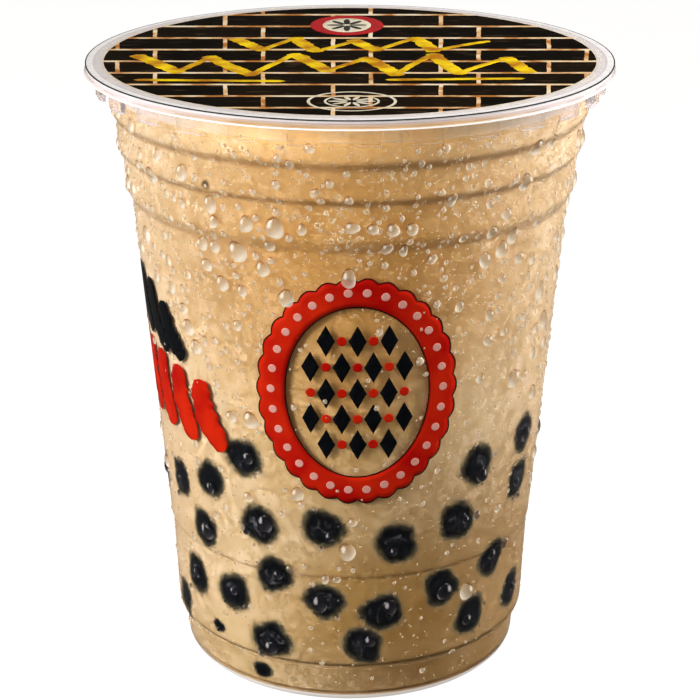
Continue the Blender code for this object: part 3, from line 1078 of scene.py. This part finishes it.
draw = random.Random(SEED + 2)
yellow = plain_ink("yellow paint", (0.46, 0.17, 0.002), (0.94, 0.66, 0.008), 0.5, 0.02, 230)
legs = [leg for zigzag in ZIGZAGS for leg in legs_of(zigzag, draw)]
falling = [leg for leg in legs if leg[-1][1] < leg[0][1]]
rising = [leg for leg in legs if leg[-1][1] >= leg[0][1]] + [list(map(np.array, bar)) for bar in BARS]
wide_bands = [(ribbon(leg, WIDE_STROKE, draw, fray=0.1, blunt=9.0), False) for leg in falling]
thin_bands = [(ribbon(leg, THIN_STROKE, draw, fray=0.1, blunt=9.0), False) for leg in rising]
strokes_wide = lay("film_strokes_wide", wide_bands, on_film(WIDE_LIFT), yellow, PAINT_THICKNESS)
strokes_thin = lay("film_strokes_thin", thin_bands, on_film(THIN_LIFT), yellow, PAINT_THICKNESS)
for piece in (strokes_wide, strokes_thin):
    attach(piece, "root")
    print(count_of(piece))

# %% [markdown]
# ## Medallions
# Two small round marks sit on the film, one red at the back and one outlined in cream in front.
# Each is built of rings, which are grids that close on themselves, and of petals, which are short
# strokes that point outwards.

# %% Helper for ovals and the film's medallions
def oval_ring(middle, outer, inner, count=96, scallops=0, dips=(0, 0)):
    """A band between two ovals, each (half width, half height). Between a number of scallops, its
    inner and outer edge dip by a share of their size."""
    turn = np.linspace(0, math.tau, count, endpoint=False)[:, None]
    share = np.linspace(0, 1, 6)[None, :]
    dip = dips[0] + (dips[1] - dips[0]) * share
    kept = 1 - dip * (1 - abs(np.cos(scallops * turn / 2)))
    wide = kept * (inner[0] + (outer[0] - inner[0]) * share)
    tall = kept * (inner[1] + (outer[1] - inner[1]) * share)
    return np.stack([middle[0] + wide * np.cos(turn), middle[1] + tall * np.sin(turn)], -1)


def spokes(middle, start, end, count, width, draw):
    """Petals that point outwards, from one oval to another, each (half width, half height)."""
    half = [(near + far) / 2 for near, far in zip(start, end)]
    petals = []
    for number in range(count):
        turn = math.tau * number / count
        path = [(middle[0] + reach[0] * math.cos(turn), middle[1] + reach[1] * math.sin(turn))
                for reach in (start, half, end)]
        petals.append((ribbon(path, width, draw, 18, 0.03, 2.0), False))
    return petals


BACK_MARK = (-0.6, 27.0)
FRONT_MARK = (0.3, -34.4)
BACK_OUTER, BACK_INNER = (7.0, 9.2), (4.6, 6.6)
MARK_LIFT, PETAL_LIFT = 0.02, 0.04
MARK_THICKNESS, PETAL_THICKNESS = 0.03, 0.02
cream = plain_ink("cream ink", (0.66, 0.58, 0.42), (0.80, 0.74, 0.60), 0.5, 0.02)
red = plain_ink("red ink", (0.52, 0.004, 0.002), (0.76, 0.024, 0.004), 0.5, 0.04, 110)
black = plain_ink("black ink", (0.002, 0.003, 0.004), (0.005, 0.006, 0.008), 0.35, 0.04)

draw = random.Random(SEED + 3)
crimson = plain_ink("crimson ink", (0.36, 0.010, 0.014), (0.50, 0.018, 0.020), 0.5, 0.02)
red_parts = [(oval_ring(BACK_MARK, BACK_OUTER, BACK_INNER), True)]
red_marks = lay("film_mark_red", red_parts, on_film(MARK_LIFT), crimson, MARK_THICKNESS)
cream_parts = [(oval_ring(BACK_MARK, BACK_INNER, (0.02, 0.02)), True)]
cream_parts += [(oval_ring(FRONT_MARK, (7.4, 6.8), (6.9, 6.3)), True)]
cream_parts += [(oval_ring(FRONT_MARK, (4.6, 4.2), (4.2, 3.8)), True)]
cream_parts += spokes(FRONT_MARK, (0.8, 0.8), (3.9, 3.5), 10, 0.75, draw)
cream_marks = lay("film_mark_cream", cream_parts, on_film(MARK_LIFT), cream, MARK_THICKNESS)
dark_parts = spokes(BACK_MARK, (0.6, 0.6), (3.9, 5.6), 8, 1.2, draw)
dark_marks = lay("film_mark_black", dark_parts, on_film(PETAL_LIFT), black, PETAL_THICKNESS)
for piece in (red_marks, cream_marks, dark_marks):
    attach(piece, "root")
    print(count_of(piece))

# %% [markdown]
# ## Print on the wall
# The wall carries a bold red band in front with a scalloped edge and a bead in each scallop, rows
# of black lozenges and red dots inside it, and loose black and red dabs on the left. Ink on plastic
# is a thin opaque layer, so each colour is a shell a little off the wall that bends with it, each at
# a lift of its own so that no two share a place, and the water drops later sit over them.

# %% Make the wall's print
RING_MIDDLE = (1.3, 63.6)
RING_OUTER = (17.8, 21.3)
RING_INNER = (12.7, 16.2)
RING_LINE = 0.22
BEADS = 30
BEAD_REACH, DOT_REACH = 0.75, 0.85
BLACK_DAB, RED_DAB = 4.6, 5.6
SCALLOP = 0.035
LOZENGE_PITCH = (5.4, 4.9)
LOZENGE_WIDTH, LOZENGE_HALF = 3.1, 2.9
FIELD_SHARE = 0.8
ROWS_EACH_WAY, COLUMNS_EACH_WAY = 3, 5
RED_LIFT, BEAD_LIFT, BLACK_LIFT = 0.05, 0.08, 0.09
INK_THICKNESS, BEAD_THICKNESS = 0.03, 0.02
DABS_BLACK = [
    [(-52, 78.5), (-50.5, 72), (-46.5, 66)], [(-57.5, 77), (-56, 71.5), (-53, 66.5)],
    [(-46.5, 77), (-44, 70), (-39, 64.5)], [(-41, 74), (-38, 68.5), (-33.8, 64.5)],
]
DABS_RED = [
    [(-55, 66), (-55.5, 59), (-52.5, 51.5)], [(-48.5, 64.5), (-49, 58), (-46, 50)],
    [(-42.5, 64), (-42.5, 57), (-39, 49.5)], [(-36, 63), (-35.5, 56), (-31.5, 49)],
    [(-29.5, 62), (-28.5, 55.5), (-24, 49)],
]


def staggered(odd):
    """The even or the odd places of a chessboard inside the ring."""
    found = []
    for row in range(-ROWS_EACH_WAY, ROWS_EACH_WAY + 1):
        for column in range(-COLUMNS_EACH_WAY, COLUMNS_EACH_WAY + 1):
            x, y = column * LOZENGE_PITCH[0] / 2, row * LOZENGE_PITCH[1]
            inside = math.hypot(x / RING_INNER[0], y / RING_INNER[1]) < FIELD_SHARE
            if inside and (row + column) % 2 == odd:
                found.append((RING_MIDDLE[0] + x, RING_MIDDLE[1] + y))
    return found


def lozenge(middle, draw):
    path = [(middle[0], middle[1] + up) for up in (-LOZENGE_HALF, 0, LOZENGE_HALF)]
    return ribbon(path, LOZENGE_WIDTH, draw, 19, 0.03, 1.0), False


def dots(centres, reach):
    return [(oval_ring(centre, (reach, reach), (0.01, 0.01), 20), True) for centre in centres]


draw = random.Random(SEED + 4)
line_outside = [half + RING_LINE for half in RING_OUTER]
line_inside = [half - RING_LINE for half in RING_INNER]
fine_steps = 10 * BEADS
outer_line = oval_ring(RING_MIDDLE, line_outside, RING_OUTER, fine_steps, BEADS, (SCALLOP, SCALLOP))
inner_line = oval_ring(RING_MIDDLE, RING_INNER, line_inside, fine_steps)
red_band = oval_ring(RING_MIDDLE, RING_OUTER, RING_INNER, fine_steps, BEADS, (0, SCALLOP))
black_parts = [lozenge(middle, draw) for middle in staggered(0)]
black_parts += [(outer_line, True), (inner_line, True)]
black_parts += [(ribbon(path, BLACK_DAB, draw), False) for path in DABS_BLACK]
red_parts = [(red_band, True)]
red_parts += dots(staggered(1), DOT_REACH)
red_parts += [(ribbon(path, RED_DAB, draw), False) for path in DABS_RED]
band = [(near + far) / 2 for near, far in zip(RING_OUTER, RING_INNER)]
beads = [(RING_MIDDLE[0] + band[0] * math.cos(turn), RING_MIDDLE[1] + band[1] * math.sin(turn))
         for turn in np.linspace(0, math.tau, BEADS, endpoint=False)]

wall_red = lay("print_red", red_parts, around_wall(RED_LIFT), red, INK_THICKNESS)
wall_black = lay("print_black", black_parts, around_wall(BLACK_LIFT), black, INK_THICKNESS)
pink = plain_ink("pale ink", (0.84, 0.36, 0.30), (0.92, 0.46, 0.40), 0.5, 0.05)
wall_beads = lay("print_beads", dots(beads, BEAD_REACH), around_wall(BEAD_LIFT), pink, BEAD_THICKNESS)
for piece in (wall_black, wall_red, wall_beads):
    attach(piece, "root")
    print(count_of(piece))

# %% [markdown]
# ## Water drops
# Water from the air settles on a cold cup: a dust of tiny beads, many drops of a millimetre, and a
# few large ones that begin to run. A drop is a low dome with a steep edge. It works as a lens, and
# gathers the lamp's light on the side away from it. That light is painted: each vertex stores how
# much of a painted bright crescent, or of a painted darker edge across from it, falls there,
# together with a painted highlight that stands for a small image of the lamp, and the crescent has a
# painted glow. Over a black pearl a drop shows little but that painted highlight and a thin painted
# bright edge, so a second number stores how much of a pearl lies behind. Three pieces hold the drops,
# by size, and each size is one dome repeated by arrays of numbers.

# %% Helpers for drops
CUP_TURN = math.radians(24)
DROP_SUNK = 0.04


def dome(segments, shares, height):
    """A dome of unit radius as (across, up, out) points, its faces, and a closed base."""
    points = [(0.0, 0.0, height)]
    for share in shares:
        out = height * (1 - share ** 2.2) ** 0.62
        for step in range(segments):
            turn = math.tau * step / segments
            points.append((share * math.cos(turn), share * math.sin(turn), out))
    faces = [[0, 1 + step, 1 + (step + 1) % segments] for step in range(segments)]
    for ring in range(len(shares) - 1):
        first, second = 1 + ring * segments, 1 + (ring + 1) * segments
        for step in range(segments):
            after = (step + 1) % segments
            faces.append([first + step, second + step, second + after, first + after])
    last = 1 + (len(shares) - 1) * segments
    faces.append([last + step for step in reversed(range(segments))])
    return np.array(points), faces


def gathered_light(across, up, angle, over_pearl):
    """The painted light over a drop: 0.3 on its body, up to 1 in a painted crescent, a painted
    highlight of the lamp, below 0 at a painted shaded edge.
    """
    side = np.where(angle > CUP_TURN, -1.0, 1.0)
    away = 0.62 * side * across - 0.78 * up
    share = np.clip(np.hypot(across, up), 0, 1)
    crescent = np.clip((away + 0.35) / 1.3, 0, 1) ** 1.6 * (0.45 + 0.55 * share)
    off = np.hypot((side * across + 0.40) / 0.26, (up - 0.36) / 0.38)
    glint = np.clip((1.3 - off) / 0.5, 0, 1)
    shaded = np.clip((-away - 0.4) / 0.6, 0, 1) * share ** 6
    plain = np.maximum(0.3 + 0.7 * crescent, 0.78 * glint) - 0.9 * shaded
    thin = np.clip((away - 0.5) / 0.5, 0, 1) * share ** 3
    dark = np.maximum(0.75 * glint, 0.7 * thin)
    return plain + (dark - plain) * over_pearl


def drops_piece(name, drops, template, shade):
    """All drops of one kind. Each is (angle, height, half width, half length, lean, waves)."""
    points, faces = template
    drops = np.array(drops)
    angle, height, wide, long, lean = (drops[:, [column]] for column in range(5))
    phase = drops[:, 5:7]
    turn = np.arctan2(points[:, 1], points[:, 0])[None, :]
    swell = 1 + 0.07 * np.cos(2 * turn + phase[:, [0]]) + 0.05 * np.cos(3 * turn + phase[:, [1]])
    pinch = 1 - drops[:, [7]] * points[:, 1]
    across = points[:, 0] * wide * swell * pinch
    up = points[:, 1] * long * swell
    x = across * np.cos(lean) - up * np.sin(lean)
    y = across * np.sin(lean) + up * np.cos(lean)
    out = points[:, 2] * np.sqrt(wide * long) - DROP_SUNK * (points[:, 2] <= 1e-9)
    z = height + y
    vertices = on_wall(angle + x / outside_radius(height), z, out).reshape(-1, 3)
    each = len(points)
    all_faces = [[start + corner for corner in face]
                 for start in range(0, each * len(drops), each) for face in faces]
    piece = add_piece(name, vertices, all_faces, [shade], 60)
    over_pearl = np.clip((pearl_showing(angle + 0 * x, z + 0 * x) - 0.15) / 0.45, 0, 1)
    light = gathered_light(points[:, 0] + 0 * x, points[:, 1] + 0 * x, angle + 0 * x, over_pearl)
    store(piece, "gathered_light", light)
    store(piece, "over_pearl", over_pearl)
    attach(piece, "root")
    print(count_of(piece))


def water(name, least, bright, shaded, lift, palest, painted_glow_peak):
    made, tree, shader = new_material(name)
    gather = attribute_of(tree, "gathered_light")
    dark = attribute_of(tree, "over_pearl")
    body = plus(tree, spread(tree, gather, 0.0, 0.3, 0.0, least),
                spread(tree, gather, 0.3, 1.0, 0.0, bright - least))
    body = times(tree, body, calc(tree, "SUBTRACT", 1.0, dark))
    on_black = spread(tree, gather, 0.05, 0.8, 0.10, 0.85)
    edge = spread(tree, gather, -0.05, -0.6, 0.0, shaded)
    body = plus(tree, body, times(tree, on_black, dark), edge)
    # The colour paints the light: brown at the painted shaded edge, tan on the body, cream in the
    # painted crescent and highlight; over a pearl, dark with a grey painted highlight.
    colour = ramp(tree, spread(tree, gather, -0.6 - lift, 1.0 - lift), [
        (0.0, (0.36, 0.20, 0.08)), (0.38, (0.54, 0.38, 0.20)), (0.56, (0.72, 0.56, 0.35)),
        (0.78, tuple(0.9 * part for part in palest)), (1.0, palest),
    ])
    seen_dark = ramp(tree, gather, [(0.1, (0.03, 0.03, 0.045)), (0.75, (0.60, 0.57, 0.58))])
    colour = mixed(tree, dark, colour, seen_dark)
    # Painted glow in the crescent, weaker over the pearls.
    painted_glow = times(tree, spread(tree, gather, 0.5 - lift, 1.0 - lift, 0.0, painted_glow_peak),
                 spread(tree, dark, 0.0, 0.5, 1.0, 0.0))
    sparkle = noise(tree, places(tree), 1500, 1)
    fill(tree, shader, {
        "Base Color": colour, "IOR": 1.33, "Transmission Weight": calc(tree, "SUBTRACT", 1.0, body),
        "Emission Color": (1.0, 0.90, 0.72), "Emission Strength": painted_glow,
        "Roughness": spread(tree, sparkle, 0.3, 0.7, 0.02, 0.06),
    })
    let_lamps_through(tree, shader)
    return made


print("drop helpers ready")

# %% [markdown]
# The large drops that catch the eye are listed one by one, and the rest fall by a seeded rule. Each
# new drop is kept only if it lies clear of the ones already there. They crowd towards the top, where
# the wall is coldest against the air. Ink sheds water, so the print stays nearly dry, and most
# pearls get one drop of their own.

# %% Scatter the drops
EYE_CATCHING = [
    (-34.9, 96.2, 1.3, 1.6), (-25.2, 93.7, 1.4, 1.5), (-18.0, 93.6, 1.6, 2.1), (-28.5, 88.3, 1.8, 1.9),
    (-35.3, 88.4, 1.2, 1.2), (-19.6, 90.2, 1.1, 1.0), (-38.5, 84.6, 1.2, 1.2), (-33.8, 81.8, 1.2, 1.5),
    (-28.0, 81.1, 0.9, 1.2), (-44.1, 95.1, 0.6, 1.0), (-47.2, 95.8, 0.6, 0.9), (-51.2, 102.8, 1.0, 1.3),
    (-21.9, 85.7, 1.2, 1.5), (-38.1, 104.3, 0.6, 0.7), (0.4, 94.2, 1.3, 1.1), (5.3, 93.9, 1.0, 1.0),
    (-8.9, 108.1, 0.9, 0.9), (41.0, 87.1, 1.4, 1.5), (28.9, 78.2, 0.9, 1.1), (38.9, 70.5, 1.1, 1.1),
    (41.3, 43.8, 1.3, 1.4), (-25.5, 36.6, 1.6, 1.8), (-32.2, 34.2, 0.8, 0.9), (72.6, 102.1, 1.3, 1.6),
]
LOWEST, HIGHEST = 3.5, 108.6
SHED = 0.93
AROUND_RING = 1.03
FIELD_DRY, BAND_DRY = 0.88, 0.97
AROUND_DAB = 3.2
PEARL_DRY = 0.85 * PEARL_RADIUS
CROWD_FROM, CROWD_OVER = 25, 55
LARGE_COUNT, MEDIUM_COUNT, FINE_COUNT = 230, 1500, 8200
CELL = 4
PEARL_POINTS = np.array([
    (pearl.angle * outside_radius(pearl.height), pearl.height) for pearl in pearls
])
DAB_POINTS = np.vstack([smooth_path(path, 12) for path in DABS_BLACK + DABS_RED])


def on_print(across, height):
    """Whether a place on the unrolled wall lies on the ring or the dabs, whose ink sheds water."""
    x, y = across - RING_MIDDLE[0], height - RING_MIDDLE[1]
    if math.hypot(x / RING_OUTER[0], y / RING_OUTER[1]) < AROUND_RING:
        share = math.hypot(x / RING_INNER[0], y / RING_INNER[1])
        return share < FIELD_DRY or share > BAND_DRY
    return min(np.hypot(DAB_POINTS[:, 0] - across, DAB_POINTS[:, 1] - height)) < AROUND_DAB


def on_pearl(across, height):
    return min(np.hypot(PEARL_POINTS[:, 0] - across, PEARL_POINTS[:, 1] - height)) < PEARL_DRY


class Scatter:
    """Drops laid one by one on the unrolled wall, none over another."""

    def __init__(self, seed):
        self.draw = random.Random(seed)
        self.cells = {}

    def near(self, x, y):
        column, row = int(x // CELL), int(y // CELL)
        for i in (column - 1, column, column + 1):
            for j in (row - 1, row, row + 1):
                yield from self.cells.get((i, j), ())

    def clear(self, x, y, reach, overlap):
        return all(math.hypot(x - a, y - b) > (reach + far) * overlap for a, b, far in self.near(x, y))

    def put(self, angle, height, wide, long, lean=0.0, pinch=0.0):
        x = angle * float(outside_radius(height))
        self.cells.setdefault((int(x // CELL), int(height // CELL)), []).append(
            (x, height, max(wide, long)))
        phases = [self.draw.uniform(0, math.tau) for _ in range(2)]
        return [angle, height, wide, long, lean, *phases, pinch]

    def over_pearls(self):
        """A drop of its own on most pearls, which shows as a lens on the black."""
        laid = []
        for pearl in pearls:
            radius = float(outside_radius(pearl.height))
            x = pearl.angle * radius + self.draw.uniform(-1.5, 1.5)
            y = pearl.height + self.draw.uniform(-1.4, 1.4)
            size = self.draw.uniform(0.7, 1.6)
            if not pearl.deeper and self.clear(x, y, size, 1.0):
                laid.append(self.put(x / radius, y, size, 1.1 * size, 0.0, 0.08))
        return laid

    def scatter(self, count, small, large, overlap, crowding, tries=40):
        """Tries to lay drops between two sizes, more of them higher up."""
        laid = []
        for _ in range(count * tries):
            if len(laid) == count:
                break
            height = self.draw.uniform(LOWEST, HIGHEST)
            higher = min(1, max(0, (height - CROWD_FROM) / CROWD_OVER))
            wanted = crowding + (1 - crowding) * higher ** 1.3
            if self.draw.random() > wanted:
                continue
            size = small + (large - small) * self.draw.random() ** 2.2
            angle = self.draw.uniform(-math.pi, math.pi)
            x = angle * float(outside_radius(height))
            stretch = 1 + 0.35 * self.draw.random() ** 2
            if height + size * stretch > HIGHEST or not self.clear(x, height, size, overlap):
                continue
            dry = on_print(x, height) or on_pearl(x, height)
            if dry and self.draw.random() < SHED:
                continue
            lean = self.draw.gauss(0, 0.25)
            laid.append(self.put(angle, height, size, size * stretch, lean, 0.12 * self.draw.random()))
        return laid


falls = Scatter(SEED + 5)
large = [falls.put(math.radians(angle), height, wide, long, 0.0, 0.14)
         for angle, height, wide, long in EYE_CATCHING]
large += falls.over_pearls()
large += falls.scatter(LARGE_COUNT, 0.8, 1.7, 1.05, 0.10)
medium = falls.scatter(MEDIUM_COUNT, 0.32, 0.8, 1.0, 0.12)
fine = falls.scatter(FINE_COUNT, 0.09, 0.26, 1.0, 0.22, tries=14)
print("drops:", len(large), len(medium), len(fine))

# %% Make the drops
drops_piece("drops_large", large, dome(26, (0.25, 0.42, 0.58, 0.72, 0.86, 0.96, 1.0), 0.38),
            water("water large", 0.5, 0.92, 0.3, 0.0, (1.0, 0.93, 0.80), 0.30))
drops_piece("drops_medium", medium, dome(14, (0.35, 0.6, 0.85, 1.0), 0.40),
            water("water medium", 0.55, 0.95, 0.2, 0.1, (0.96, 0.84, 0.66), 0.16))
drops_piece("drops_fine", fine, dome(6, (0.7, 1.0), 0.45),
            water("water fine", 0.6, 0.9, 0.0, 0.4, (0.84, 0.69, 0.48), 0.05))
